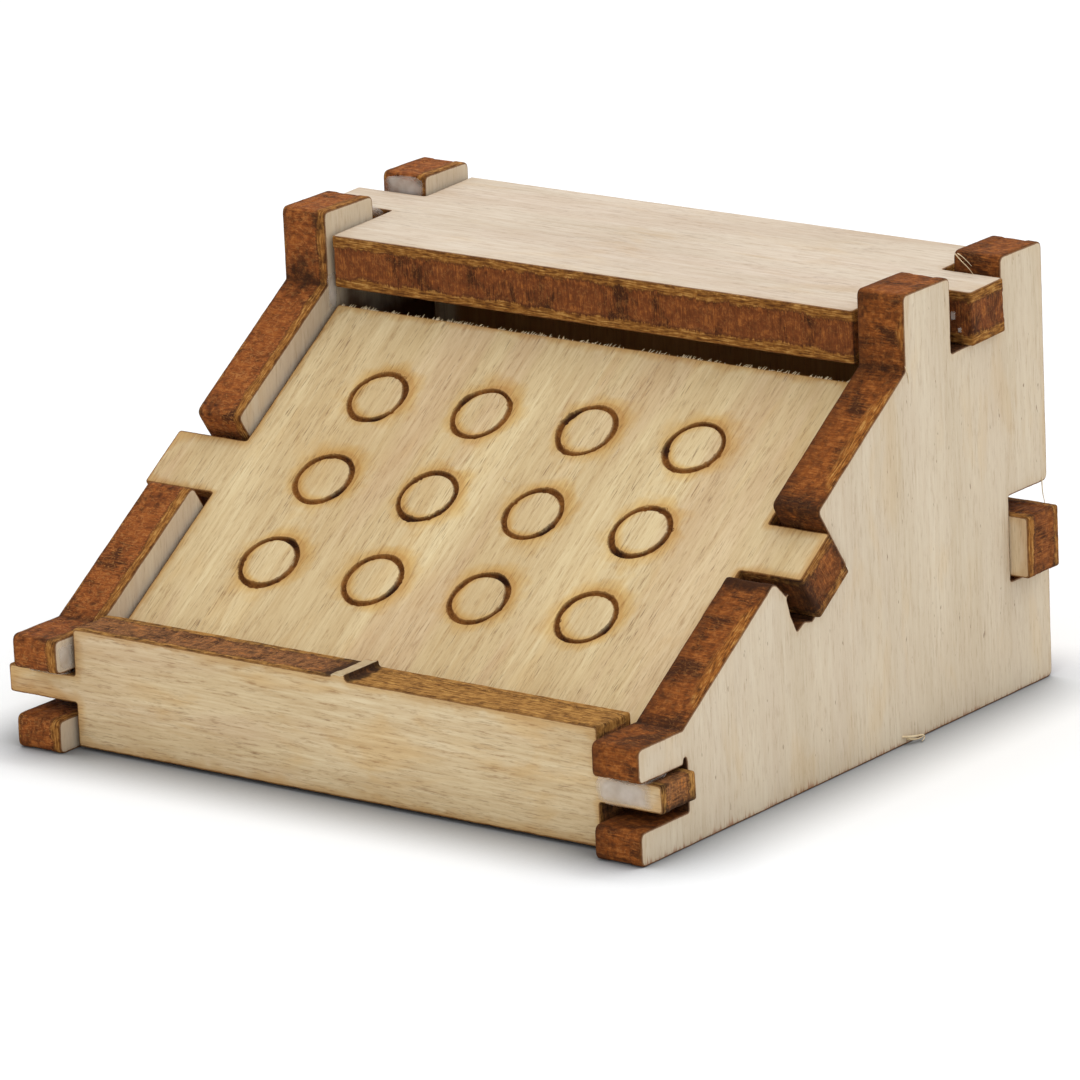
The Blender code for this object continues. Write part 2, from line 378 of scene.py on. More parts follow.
# %% [markdown]
# ## Scored rings
#
# At low power the same beam only marks the face: a shallow groove that is deepest and blackest
# where the beam starts and stops. The CAD panel has the grooves already, and their floors say
# where each ring is. Every ring gets circles of points of its own, so the groove is crisp although
# the board around it is coarse.

# %% Find the rings
SCORE_FLOOR = 0.40
GROOVE = 0.40


def find_rings(board, columns, rows):
    """Middle of each ring in the board's drawing, row by row from the top, and the rings' radius."""
    floor = board.places[np.abs(board.places[:, 2] - board.half + SCORE_FLOOR) < 0.02][:, :2]
    low, high = floor.min(0), floor.max(0)
    near = floor[np.linalg.norm(floor - (low[0], high[1]), axis=1) < 4.5]
    first = near[near[:, 1] > high[1] - 4.5]
    radius = (first[:, 1].max() - first[:, 1].min()) / 2
    across = np.linspace(low[0] + radius, high[0] - radius, columns)
    up = np.linspace(high[1] - radius, low[1] + radius, rows)
    return [np.array((x, y)) for y in up for x in across], radius


RINGS, RING_RADIUS = find_rings(boards["sloped_panel"], 4, 3)
print(len(RINGS), "rings of radius", round(RING_RADIUS, 2), "first at", np.round(RINGS[0], 2))

# %% [markdown]
# ## From a line to a solid board
#
# A board could be an extruded curve with a bevel, but a burnt edge needs more than that: the two
# rims are rounded, the middle veneer burns back further than the outer ones, and the whole wall is
# pitted. So the wall is a stack of rows, each one the cut line moved in or out a little, and the
# flat sides are filled with triangles by a constrained Delaunay fill. While the points are made,
# each one is also told what it is: how deep in the sheet it lies, how far from a cut or a score
# line, and how badly it is burnt. The materials read those numbers later.

# %% The rows of a cut wall
EDGE_ROUND = 0.10
VENEER = 0.26
ROWS = (0.0, 0.012, 0.035, 0.08, 0.15, 0.21, 0.25, 0.27, 0.35, 0.44, 0.53, 0.62, 0.70,
        0.73, 0.75, 0.79, 0.85, 0.92, 0.965, 0.988, 1.0)


def rim_inset(depth, thickness):
    """How far the rounded rim pulls a row in, for a share of the thickness from the outer face."""
    near = min(depth, 1 - depth) * thickness
    if near >= EDGE_ROUND:
        return 0.0
    return EDGE_ROUND - math.sqrt(EDGE_ROUND ** 2 - (EDGE_ROUND - near) ** 2)


def veneer_inset(depth):
    """The middle veneer burns back further, and the two glue lines are fine grooves."""
    near_glue = min(abs(depth - VENEER), abs(depth - (1 - VENEER)))
    middle = 0.03 if VENEER < depth < 1 - VENEER else 0.0
    return middle + 0.035 * math.exp(-((near_glue / 0.012) ** 2))


print(len(ROWS), "rows; the middle one is", veneer_inset(0.5), "mm further in than the outer veneers")

# %% [markdown]
# How badly a stretch of the cut is burnt follows from the drawing too. The beam turns at an inner
# corner, waits there and chars the wood, so the floor of a notch is the blackest, its walls come
# next, then the short ends of tabs and fingers, and a long outer edge is only brown.
# Scorched corners get their own extra share.

# %% How burnt each stretch of the cut is
SHORT_EDGE, SHORT_EDGE_BURN = 4.3, 0.38
# how much an inner and an outer corner add, and how fast that fades along the cut, in millimetres
INNER_BURN, INNER_FADE = 0.5, 0.5
OUTER_BURN, OUTER_FADE = 0.35, 0.25


def burn_of(board, line):
    """From 0 on an open edge to 1 on the floor of a notch, for each point of the cut line."""
    corners = board.outline
    back = corners - np.roll(corners, 1, axis=0)
    ahead = np.roll(corners, -1, axis=0) - corners
    inner = back[:, 0] * ahead[:, 1] - back[:, 1] * ahead[:, 0] < 0
    both = inner.astype(float) + np.roll(inner, -1).astype(float)
    short = np.linalg.norm(ahead, axis=1) < SHORT_EDGE
    nearest, found = np.full(len(line), 1e9), np.zeros(len(line))
    for start, run, level in zip(corners, ahead, np.maximum(both / 2, SHORT_EDGE_BURN * short)):
        share = np.clip((line - start) @ run / (run @ run), 0, 1)
        distance = np.linalg.norm(line - start - share[:, None] * run, axis=1)
        closer = distance < nearest
        nearest[closer], found[closer] = distance[closer], level
    for corner in corners[inner]:
        found += INNER_BURN * np.exp(-np.linalg.norm(line - corner, axis=1) / INNER_FADE)
    for corner in corners[~inner]:
        found += OUTER_BURN * np.exp(-np.linalg.norm(line - corner, axis=1) / OUTER_FADE)
    for x, y, reach, level in board.scorched:
        found += level * np.exp(-(np.linalg.norm(line - (x, y), axis=1) / reach) ** 2)
    return np.clip(found, 0, 1.3)


for board in boards.values():
    print(board.name, "is burnt", np.round(burn_of(board, board.outline).mean(), 2), "at its corners")

# %% [markdown]
# Two more numbers go with the burn. A long edge that climbs is golden on its outer veneer, and so
# is one that the beam only passed over lightly. The stump of the snapped bridge is bare wood.

# %% How golden and how bare the cut is
def gold_of(board, line):
    """How golden the wall is: where a long edge climbs, and where the beam passed over lightly."""
    climb = np.zeros(len(line))
    for reach in range(6, 16):
        run = np.roll(line, -reach, axis=0) - np.roll(line, reach, axis=0)
        length = np.linalg.norm(run, axis=1)
        straight = length > 2 * reach * STEP * 0.90
        climb += 0.1 * (straight & (np.abs(run[:, 1]) > 0.4 * length))
    for from_x, from_y in board.gilt:
        past = np.clip((line[:, 0] - from_x) / 0.4, 0, 1)
        climb = np.maximum(climb, 2.0 * past * (line[:, 1] > from_y))
    return climb


def bare_of(board, line):
    """How bare the wall is: near 1 where the board was snapped, and 0 where it was burnt."""
    bare = np.zeros(len(line))
    for x, y, reach in board.bare:
        off = np.maximum(np.abs(line[:, 0] - x), np.abs(line[:, 1] - y))
        bare = np.maximum(bare, 0.72 * (off < reach))
    return bare


front_line = burnt_line(boards["front_board"].outline, seed=1, outer_radius=0.2)
golden = gold_of(boards["front_board"], front_line) > 0.5
bare = bare_of(boards["front_board"], front_line) > 0
print("Golden share of the front board's cut:", round(golden.mean(), 2), "bare:", round(bare.mean(), 3))

# %% [markdown]
# The fill and the smoke need two measures of any place in a drawing: how far it is from a closed
# line, and whether the line runs round it.

# %% Measure against a closed line
def distance_to(line, points):
    """Distance from each point to the nearest stretch of a closed line."""
    nearest = np.full(len(points), 1e9)
    for start, along in zip(line, np.roll(line, -1, axis=0) - line):
        share = np.clip((points - start) @ along / (along @ along), 0, 1)
        nearest = np.minimum(nearest, np.linalg.norm(points - start - share[:, None] * along, axis=1))
    return nearest


def is_inside(line, points):
    """True for the points that a closed line runs round."""
    crossings = np.zeros(len(points), int)
    for (x0, y0), (x1, y1) in zip(line, np.roll(line, -1, axis=0)):
        spans = (y0 > points[:, 1]) != (y1 > points[:, 1])
        if y0 != y1:
            crossings += spans & (points[:, 0] < x0 + (points[:, 1] - y0) * (x1 - x0) / (y1 - y0))
    return crossings % 2 == 1


print("The front board's middle is inside its cut line:", bool(is_inside(front_line, np.zeros((1, 2)))[0]),
      "and", round(distance_to(front_line, np.zeros((1, 2)))[0], 2), "mm from it")

# %% [markdown]
# A ring is a stack of circles too. The groove is narrow where the beam moved fast and wide where
# it slowed down, and small burrs stand out where it tore the veneer.

# %% Circles for each ring
RING_STEPS = 72
GROOVE_DEPTH = 0.26
GROOVE_EDGE = 0.20
# distance from the middle of the groove, and how deep the groove is there
GROOVE_SHAPE = ((-0.30, 0.0), (-GROOVE_EDGE, 0.0), (-0.13, 0.75), (0.0, 1.0), (0.13, 0.75),
                (GROOVE_EDGE, 0.0), (0.30, 0.0))
# where the beam starts and stops on each ring, in degrees to the left from the right-hand side
BEAM_STARTS = (-59, 151, 148, 190, -29, -105, -35, -110, 74, -12, 70, -18)


def ring_circles(middle, number):
    """Points, groove depths, distances from the groove and start marks of one scored ring."""
    turns = np.linspace(0, 2 * math.pi, RING_STEPS, endpoint=False)
    start = math.radians(BEAM_STARTS[number])
    away = np.abs((turns - start + math.pi) % (2 * math.pi) - math.pi)
    mark = np.exp(-((away / 0.33) ** 2))
    directions = np.stack([np.cos(turns), np.sin(turns)], axis=1)
    wobble = noise_at(directions * 1.6, 1.0, number * 3.1)
    burrs = np.maximum(0, noise_at(directions * 9.0, 1.0, number * 7.7) - 0.55) * 0.22
    width = 0.86 + 0.22 * noise_at(directions * 1.1, 1.0, number * 5.3 + 2) + 0.25 * mark
    circles = []
    for away_from_middle, sunk in GROOVE_SHAPE:
        radius = RING_RADIUS - GROOVE / 2 + 0.025 * wobble + away_from_middle * width
        if abs(away_from_middle) == GROOVE_EDGE:
            radius += math.copysign(1, away_from_middle) * burrs
        points = middle + directions * radius[:, None]
        depth = sunk * GROOVE_DEPTH * (0.85 + 0.3 * mark)
        circles.append((points, depth, abs(away_from_middle), mark))
    return circles


print("Each ring is", len(ring_circles(RINGS[0], 0)), "circles of", RING_STEPS, "points")

# %% [markdown]
# The middle of a flat side needs points too, so that the numbers of the smoke can change smoothly
# over it. A loose grid is enough there, and it keeps clear of the cut and of the rings.

# %% Loose points
GRID = 0.75
RIM_CLEARANCE, RING_CLEARANCE = 0.4, 0.5


def grid_points(line, rings):
    """Loose points inside a board, clear of its edge and of the rings."""
    low, high = line.min(0), line.max(0)
    x, y = np.meshgrid(np.arange(low[0], high[0], GRID), np.arange(low[1], high[1], GRID))
    points = np.stack([x.ravel(), y.ravel()], axis=1)
    points[::2, 1] += GRID / 3
    points = points[is_inside(line, points)]
    points = points[distance_to(line, points) > RIM_CLEARANCE]
    for middle in rings:
        gap = np.abs(np.linalg.norm(points - middle, axis=1) - RING_RADIUS + GROOVE / 2)
        points = points[gap > RING_CLEARANCE]
    return points


print("The slope board gets", len(grid_points(slope_outline, RINGS)), "loose points")

# %% [markdown]
# The fill takes the cut line, a second line just inside it, the circles and the loose grid, and
# joins them with triangles. It may merge points, so it also says which old points each new one
# stands for, and the groove depth and the score numbers are carried over by that.

# %% Fill a flat side
FAR = 9.0  # the distance given to places that no smoke or score line can reach
SECOND_LINE = 0.16


def fill(line, rings):
    """Triangles of a flat side, with the groove depth and the score numbers of each point."""
    inner = line - outward_normals(line) * SECOND_LINE
    inner = inner[(distance_to(line, inner) > 0.75 * SECOND_LINE) & is_inside(line, inner)]
    points = [line, inner, grid_points(line, rings)]
    count = sum(len(group) for group in points)
    facts = [np.tile((0.0, FAR, 0.0), (count, 1))]
    loops = [np.arange(len(line))]
    for number, middle in enumerate(rings):
        for circle, depth, away, mark in ring_circles(middle, number):
            loops.append(np.arange(count, count + len(circle)))
            count += len(circle)
            points.append(circle)
            facts.append(np.stack([depth, np.full(len(circle), away), mark], axis=1))
    points, facts = np.concatenate(points), np.concatenate(facts)
    edges = [pair for loop in loops[1:] for pair in zip(loop.tolist(), np.roll(loop, -1).tolist())]
    made = geometry.delaunay_2d_cdt([Vector(p) for p in points], edges, [loops[0].tolist()], 1, 1e-5)
    places, triangles, origins = np.array([tuple(p) for p in made[0]]), made[2], made[3]
    index = {old: new for new, olds in enumerate(origins) for old in olds}
    kept = np.tile((0.0, FAR, 0.0), (len(places), 1))
    for old, new in index.items():
        kept[new] = facts[old]
    border = [index[i] for i in range(len(line))]
    return places, triangles, kept, border


square = RINGS[0] + np.array(((-4, -4), (4, -4), (4, 4), (-4, 4)))
print("A square with one ring in it needs", len(fill(square, RINGS[:1])[1]), "triangles")

# %% [markdown]
# The fan that blew over the bed pushed the smoke of each ring up and to the right, so the haze is
# measured from a ring that is moved that way. Inside the ring it thins out faster.

# %% Smoke round the rings
SMOKE_DRIFT = np.array((0.22, 0.14))


def smoke_of(points, rings):
    """Distance to the nearest ring, less to where the smoke was blown and more inside the ring."""
    smoke = np.full(len(points), FAR)
    for middle in rings:
        off = np.linalg.norm(points - middle - SMOKE_DRIFT, axis=1) - RING_RADIUS + GROOVE / 2
        smoke = np.minimum(smoke, np.where(off > 0, off, -2.5 * off))
    return smoke


print("Smoke number in the middle of a ring:", round(smoke_of(RINGS[0][None], RINGS)[0], 2))

# %% [markdown]
# The wall joins the two flat sides row by row. Each row is the cut line, moved in by the round
# rim, by the burnt-back middle veneer and by the pits, which are deeper where it is burnt more.

# %% One row of the wall
PITTING = 0.02


def wall_row(board, line, burn, share, seed):
    """The points of the wall at a share of the thickness from the outer face."""
    height = board.half - share * board.size[2]
    pits = [noise.noise(Vector((x * 2.3, y * 2.3, height * 1.6 + seed))) for x, y in line]
    crumbs = [noise.noise(Vector((x * 7.0, y * 7.0, height * 5.0 - seed))) for x, y in line]
    middling = min(1.0, 4 * share, 4 * (1 - share))
    inset = rim_inset(share, board.size[2]) + veneer_inset(share) * middling
    inset = inset - (np.array(pits) + 0.5 * np.array(crumbs)) * PITTING * (1 + burn) * middling
    return np.column_stack([line - outward_normals(line) * inset[:, None], np.full(len(line), height)])


row = wall_row(boards["front_board"], front_line, burn_of(boards["front_board"], front_line), 0.5, 1)
print("The middle row is", round(np.abs(front_line - row[:, :2]).max(), 3), "mm off its line at most")

# %% [markdown]
# The faces are the triangles of the two flat sides and a ring of quads between every two rows. The
# numbers for the materials become float attributes of the mesh, one value for each vertex.

# %% Faces and numbers of a board
def board_faces(triangles, border, flats, steps):
    """Triangles of the outer and the inner flat side, then the quads of the wall."""
    first, last = 2 * flats, 2 * flats + (len(ROWS) - 2) * steps
    rows = [border, *(range(start, start + steps) for start in range(first, last, steps))]
    rows.append([i + flats for i in border])
    faces = [tuple(face) for face in triangles]
    faces += [tuple(i + flats for i in face[::-1]) for face in triangles]
    for upper, lower in zip(rows, rows[1:]):
        for i in range(steps):
            following = (i + 1) % steps
            faces.append((upper[i], lower[i], lower[following], upper[following]))
    return faces


def add_number(mesh, name, outer, inner, wall):
    """One value for each vertex: the outer flat side, the inner one and the rows of the wall."""
    values = np.concatenate([outer, inner, wall]).astype(np.float32)
    mesh.attributes.new(name, "FLOAT", "POINT").data.foreach_set("value", values)


def add_numbers(mesh, board, line, burn, places, facts, border, rings):
    """Everything that the materials want to know about each vertex."""
    layers, none = len(ROWS) - 2, np.zeros(len(places))
    far, wall_far = np.full(len(places), FAR), np.full(layers * len(line), FAR)
    gold, bare = gold_of(board, line), bare_of(board, line)
    rim = distance_to(line - outward_normals(line) * EDGE_ROUND, places)
    foot = places[:, 1] - line[:, 1].min()
    smoke = smoke_of(places, rings)
    score = np.where(facts[:, 1] < FAR, facts[:, 1], smoke)
    rim_burn = none.copy()
    rim_burn[border] = burn
    add_number(mesh, "depth", none, none + 1, np.repeat(ROWS[1:-1], len(line)))
    add_number(mesh, "wall", none, none, np.tile(1 - bare, layers))
    add_number(mesh, "gold", none, none, np.tile(gold, layers))
    add_number(mesh, "rim", rim, rim, np.tile(FAR * bare, layers))
    add_number(mesh, "foot", foot, foot, wall_far)
    add_number(mesh, "burn", rim_burn, rim_burn, np.tile(burn, layers))
    add_number(mesh, "score", score, far, wall_far)
    add_number(mesh, "smoke", smoke, far, wall_far)
    add_number(mesh, "mark", facts[:, 2], none, 0 * wall_far)
    print(board.name, "carries", len(mesh.attributes), "attributes")


# %% [markdown]
# Now the boards. The sharp rims between wall and faces are kept, and the rest is shaded smooth.
# Each cut board takes the place of its CAD board.

# %% Build the cut boards
def cut_board(board, seed, corner_radius, rings=()):
    """A solid board with a burnt wall, in its own drawing, placed by its object's matrix."""
    line = burnt_line(board.outline, seed, corner_radius)
    burn = burn_of(board, line)
    places, triangles, facts, border = fill(line - outward_normals(line) * EDGE_ROUND, rings)
    outer = np.column_stack([places, board.half - facts[:, 0]])
    inner = np.column_stack([places, np.full(len(places), -board.half)])
    wall = [wall_row(board, line, burn, share, seed) for share in ROWS[1:-1]]
    mesh = bpy.data.meshes.new(board.name + "_cut")
    faces = board_faces(triangles, border, len(places), len(line))
    mesh.from_pydata(np.concatenate([outer, inner, *wall]) * MM, [], faces)
    add_numbers(mesh, board, line, burn, places, facts, border, rings)
    mesh.shade_smooth()
    mesh.set_sharp_from_angle(angle=math.radians(50))
    piece = bpy.data.objects.new(board.name + "_cut", mesh)
    bpy.context.scene.collection.objects.link(piece)
    piece.matrix_world = board.matrix
    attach(piece, "root")
    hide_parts(board.name)
    print(piece.name, "has", len(mesh.vertices), "points and", len(mesh.polygons), "faces")
    return piece


pieces = {
    "left_side_panel": cut_board(boards["left_side_panel"], 11, 0.45),
    "right_side_panel": cut_board(boards["right_side_panel"], 23, 0.45),
    "front_board": cut_board(boards["front_board"], 37, 0.2),
    "sloped_panel": cut_board(boards["sloped_panel"], 41, 0.2, rings=RINGS),
    "top_panel": cut_board(boards["top_panel"], 53, 0.2),
    "back_panel": cut_board(boards["back_panel"], 67, 0.2),
}

# %% [markdown]
# ## A small kitchen for materials
#
# A node material is a recipe: take a place on the surface, stretch it, feed it to a noise, shape
# the noise, mix two colours by it. Written out node by node that is long and hard to read, so this
# helper adds a node in one line and gives back the socket that the next line needs.

# %% A helper that adds nodes
class Recipe:
    """The nodes of one material. Each call adds one and gives back its result."""

    def __init__(self, name):
        self.material = bpy.data.materials.new(name)
        self.material.use_nodes = True
        self.tree = self.material.node_tree
        self.surface = self.tree.nodes["Principled BSDF"]

    def add(self, kind, inputs, settings=None, result=0):
        """One node, with values or the results of other nodes for its inputs."""
        node = self.tree.nodes.new("ShaderNode" + kind)
        for key, value in (settings or {}).items():
            setattr(node, key, value)
        for key, value in inputs.items():
            if isinstance(value, bpy.types.NodeSocket):
                self.tree.links.new(value, node.inputs[key])
            else:
                node.inputs[key].default_value = value
        return node.outputs[result]

    def fact(self, name):
        """A number that the mesh carries."""
        return self.add("Attribute", {}, {"attribute_name": name}, "Fac")

    def place(self, turn=(0, 0, 0), shift=(0, 0, 0)):
        """The place in the piece's own drawing, in millimetres."""
        inputs = {"Vector": self.add("TexCoord", {}, result="Object"), "Scale": (1 / MM, 1 / MM, 1 / MM),
                  "Rotation": turn, "Location": shift}
        return self.add("Mapping", inputs)

    def noise(self, at, scales, detail=2.0, rough=0.5, warp=0.0):
        """Noise with this many waves to a millimetre along x, y and z."""
        inputs = {"Vector": self.add("Mapping", {"Vector": at, "Scale": scales}), "Scale": 1.0,
                  "Detail": detail, "Roughness": rough, "Distortion": warp}
        return self.add("TexNoise", inputs, result="Fac")

    def ridge(self, value, width):
        """1 along the middle line of a noise and 0 away from it: thin wandering threads."""
        return self.eased(self.apart(value, 0.5), width, 0.0)

    def calculate(self, kind, *values):
        return self.add("Math", dict(enumerate(values)), {"operation": kind})

    def sum(self, a, b):
        return self.calculate("ADD", a, b)

    def less(self, a, b):
        return self.calculate("SUBTRACT", a, b)

    def times(self, a, b):
        return self.calculate("MULTIPLY", a, b)

    def most(self, a, b):
        return self.calculate("MAXIMUM", a, b)

    def apart(self, a, b):
        """How far two numbers are from each other."""
        return self.calculate("ABSOLUTE", self.less(a, b))

    def eased(self, value, start, end):
        """0 before the start, 1 after the end and a soft step between; the start may be the larger."""
        inputs = {"Value": value, "From Min": start, "From Max": end}
        return self.add("MapRange", inputs, {"interpolation_type": "SMOOTHSTEP"})

    def swing(self, value, low, high):
        """A noise, which mostly lies between 0.3 and 0.7, spread from low to high."""
        inputs = {"Value": value, "From Min": 0.3, "From Max": 0.7, "To Min": low, "To Max": high}
        return self.add("MapRange", inputs, {"clamp": False})

    def mixed(self, share, first, second, kind="MIX"):
        """The first colour, with a share of the second laid over it or multiplied into it."""
        settings = {"data_type": "RGBA", "blend_type": kind, "clamp_factor": True}
        return self.add("Mix", {0: share, 6: first, 7: second}, settings, 2)

    def ramp(self, value, *stops):
        """A colour for each value; a stop is a place from 0 to 1 and a colour."""
        result = self.add("ValToRGB", {"Fac": value})
        elements = result.node.color_ramp.elements
        for index, (place, colour) in enumerate(stops):
            element = elements[index] if index < 2 else elements.new(place)
            element.position, element.color = place, colour
        return result


print("Recipe knows:", ", ".join(name for name in vars(Recipe) if not name.startswith("_")))

# %% [markdown]
# Colours are easiest to write down as they look on a screen, from 0 to 255. A material works in
# amounts of light, which grow much faster than what the eye sees, so they are converted once here.

# %% Colours
def colour(red, green, blue):
    """A screen colour from 0 to 255, as the light values that a material works in."""
    shares = [value / 255 for value in (red, green, blue)]
    linear = [((s + 0.055) / 1.055) ** 2.4 if s > 0.04045 else s / 12.92 for s in shares]
    return (*linear, 1.0)


def shades(*triples):
    """A list of screen colours."""
    return [colour(*triple) for triple in triples]


print("Pale birch is", np.round(colour(226, 208, 176)[:3], 3), "in light values")

# %% [markdown]
# ## Birch veneer
#
# A peeled birch veneer is nearly plain: broad pale and rosy streaks a few millimetres wide, very
# fine fibres, and short thin dashes where the knife opened a pore. All of them run with the grain,
# so each is the same noise, pulled long in one direction. A board whose grain runs up gets its
# drawing turned by a quarter first.

# %% Veneer
# what each mark multiplies the wood's colour by, and the colour of a speck
FIBRE_SHADE, HAIR_SHADE, PORE_SHADE = shades((200, 172, 136), (168, 132, 98), (120, 84, 56))
STAIN_SHADE, SPECK = shades((244, 208, 130), (96, 66, 46))


def grain_place(recipe, runs_up, shift):
    """Places in millimetres, x along the grain, y across it and z through the sheet."""
    quarter = (0, 0, math.pi / 2)
    return recipe.place(quarter if runs_up else (0, 0, 0), shift)


def veneer(recipe, at, look):
    """Colour and height of bare veneer."""
    pale, middle, warm, rosy = look["wood"]
    broad = recipe.noise(at, (0.05, 0.36, 0.2), 3.0, 0.5, 0.25)
    blush = recipe.noise(at, (0.04, 0.24, 0.3), 3.0, 0.55, 0.2)
    fibres = recipe.noise(at, (0.30, 5.0, 1.0), 4.0, 0.65)
    hairs = recipe.noise(at, (0.9, 8.5, 1.0), 3.0, 0.7)
    patches = recipe.noise(at, (0.20, 0.45, 1.0), 2.0)
    pores = recipe.noise(at, (0.9, 13.0, 1.0), 2.0, 0.55)
    wood = recipe.ramp(recipe.swing(broad, 0.0, 1.0), (0.0, warm), (0.5, middle), (1.0, pale))
    wood = recipe.mixed(recipe.times(recipe.eased(blush, 0.46, 0.62), look["rosy"]), wood, rosy)
    wood = recipe.mixed(recipe.swing(fibres, 0.0, look["fibres"]), wood, FIBRE_SHADE, "MULTIPLY")
    thin = recipe.times(recipe.eased(hairs, 0.50, 0.72), look["hairs"])
    wood = recipe.mixed(thin, wood, HAIR_SHADE, "MULTIPLY")
    opened = recipe.times(recipe.eased(pores, 0.58, 0.74), recipe.eased(patches, 0.40, 0.60))
    wood = recipe.mixed(recipe.times(opened, look["pores"]), wood, PORE_SHADE, "MULTIPLY")
    stain = recipe.eased(recipe.noise(at, (0.13, 0.40, 0.3), 3.0, 0.6, 0.5), 0.52, 0.70)
    wood = recipe.mixed(recipe.times(stain, look["stain"]), wood, STAIN_SHADE, "MULTIPLY")
    specks = recipe.eased(recipe.noise(at, (1.1, 4.0, 1.0), 2.0, 0.6), 0.70, 0.76)
    wood = recipe.mixed(recipe.times(specks, look["specks"]), wood, SPECK)
    height = recipe.sum(recipe.times(fibres, 0.7), recipe.times(hairs, 0.5))
    height = recipe.sum(height, recipe.times(opened, -0.5))
    return wood, height


print("A pore keeps", np.round(PORE_SHADE[:3], 2), "of the wood's red, green and blue")

# %% [markdown]
# ## What the laser burnt
#
# Along a cut the veneer is smoked yellow, and the very rim is brown, which the `rim` number says.
# The smoke also licked a millimetre up the grain from a board's lower edge, as `foot` says. The
# hidden side of a board, inside the case, is painted darker and browner: painted shade of the
# closed case, with some smoke stain, kept back from the rims.

# %% Smoke along the cuts
BROWN = colour(118, 74, 34)
BLACK = colour(34, 20, 11)


def smoked(recipe, wood, at, look):
    """Veneer with smoke along its cuts, and painted shade with some smoke stain on its hidden side, inside
    the case.
    """
    cloud = recipe.noise(at, (0.45, 0.7, 1.0), 3.0, 0.6)
    grit = recipe.noise(at, (2.6, 9.0, 1.0), 3.0, 0.6)
    rim = recipe.fact("rim")
    reach = recipe.times(recipe.most(recipe.swing(cloud, 0.1, 1.25), 0.02), look["smoke_reach"])
    yellow = recipe.times(recipe.eased(rim, reach, 0.0), look["smoke"])
    wood = recipe.mixed(yellow, wood, colour(226, 190, 120), "MULTIPLY")
    edge_reach = recipe.most(recipe.swing(grit, -0.03, look["rim_reach"]), 0.002)
    wood = recipe.mixed(recipe.times(recipe.eased(rim, edge_reach, 0.0), 0.75), wood, BROWN)
    licks = recipe.swing(recipe.noise(at, (0.35, 6.0, 1.0), 4.0, 0.65), -0.55, look["licks"])
    licked = recipe.eased(recipe.fact("foot"), recipe.most(licks, 0.02), 0.0)
    wood = recipe.mixed(recipe.times(licked, 0.75), wood, colour(188, 122, 92), "MULTIPLY")
    # painted shade: the hidden side, inside the closed case, is darkened away from its rims, with some
    # smoke stain
    inside = recipe.eased(recipe.fact("depth"), *look["inside"])
    deep = recipe.eased(recipe.sum(rim, recipe.swing(cloud, -0.3, 0.3)), *look["soot_reach"])
    return recipe.mixed(recipe.times(inside, deep), wood, look["soot"], "MULTIPLY")


print("The very rim is", np.round(BROWN[:3], 3), "in light values")

# %% [markdown]
# A score line is brown and a little uneven. The `score` number is the distance from the middle of
# the groove, `mark` is high where the beam started, and `smoke` grows with the distance from the
# ring, so a wide and a narrow haze can be laid round it.

# %% Scored rings
HAZE, NEAR_HAZE = colour(240, 212, 146), colour(206, 152, 84)
GROOVE_TONES = shades((58, 30, 12), (104, 61, 22), (152, 100, 46))


def scored(recipe, wood, at):
    """Rings: a brown groove, darker at its start, in a haze of yellow smoke."""
    cloud = recipe.noise(at, (0.6, 0.6, 1.0), 3.0, 0.6)
    grit = recipe.noise(at, (5.0, 5.0, 1.0), 3.0, 0.65)
    tone = recipe.noise(at, (0.55, 0.55, 1.0), 2.0, 0.5)
    score, smoke, mark = recipe.fact("score"), recipe.fact("smoke"), recipe.fact("mark")
    far = recipe.eased(smoke, recipe.swing(cloud, 0.5, 1.9), 0.1)
    wood = recipe.mixed(recipe.times(far, 0.70), wood, HAZE, "MULTIPLY")
    near = recipe.eased(smoke, recipe.swing(cloud, 0.22, 0.48), 0.18)
    wood = recipe.mixed(recipe.times(near, 0.24), wood, NEAR_HAZE, "MULTIPLY")
    edge = recipe.swing(grit, 0.20, 0.32)
    shade = recipe.sum(recipe.swing(grit, -0.05, 0.45), recipe.swing(tone, 0.0, 0.6))
    shade = recipe.sum(shade, recipe.times(mark, -0.55))
    burnt = recipe.ramp(shade, *zip((0.0, 0.4, 1.0), GROOVE_TONES))
    return recipe.mixed(recipe.eased(score, edge, 0.13), wood, burnt)


print("A groove has", len(GROOVE_TONES), "tones from", np.round(GROOVE_TONES[0][:3], 3))

# %% [markdown]
# The wall of a cut shows the three veneers: the outer ones golden, with streaks along the cut, and
# the middle one red-brown to black, mottled and hairy because its fibres are seen from their ends.
# A dark line parts them. The `depth` number tells the veneers apart, with some jitter so that their
# borders are ragged. The floor and walls of a notch are blacker, which `burn` says.

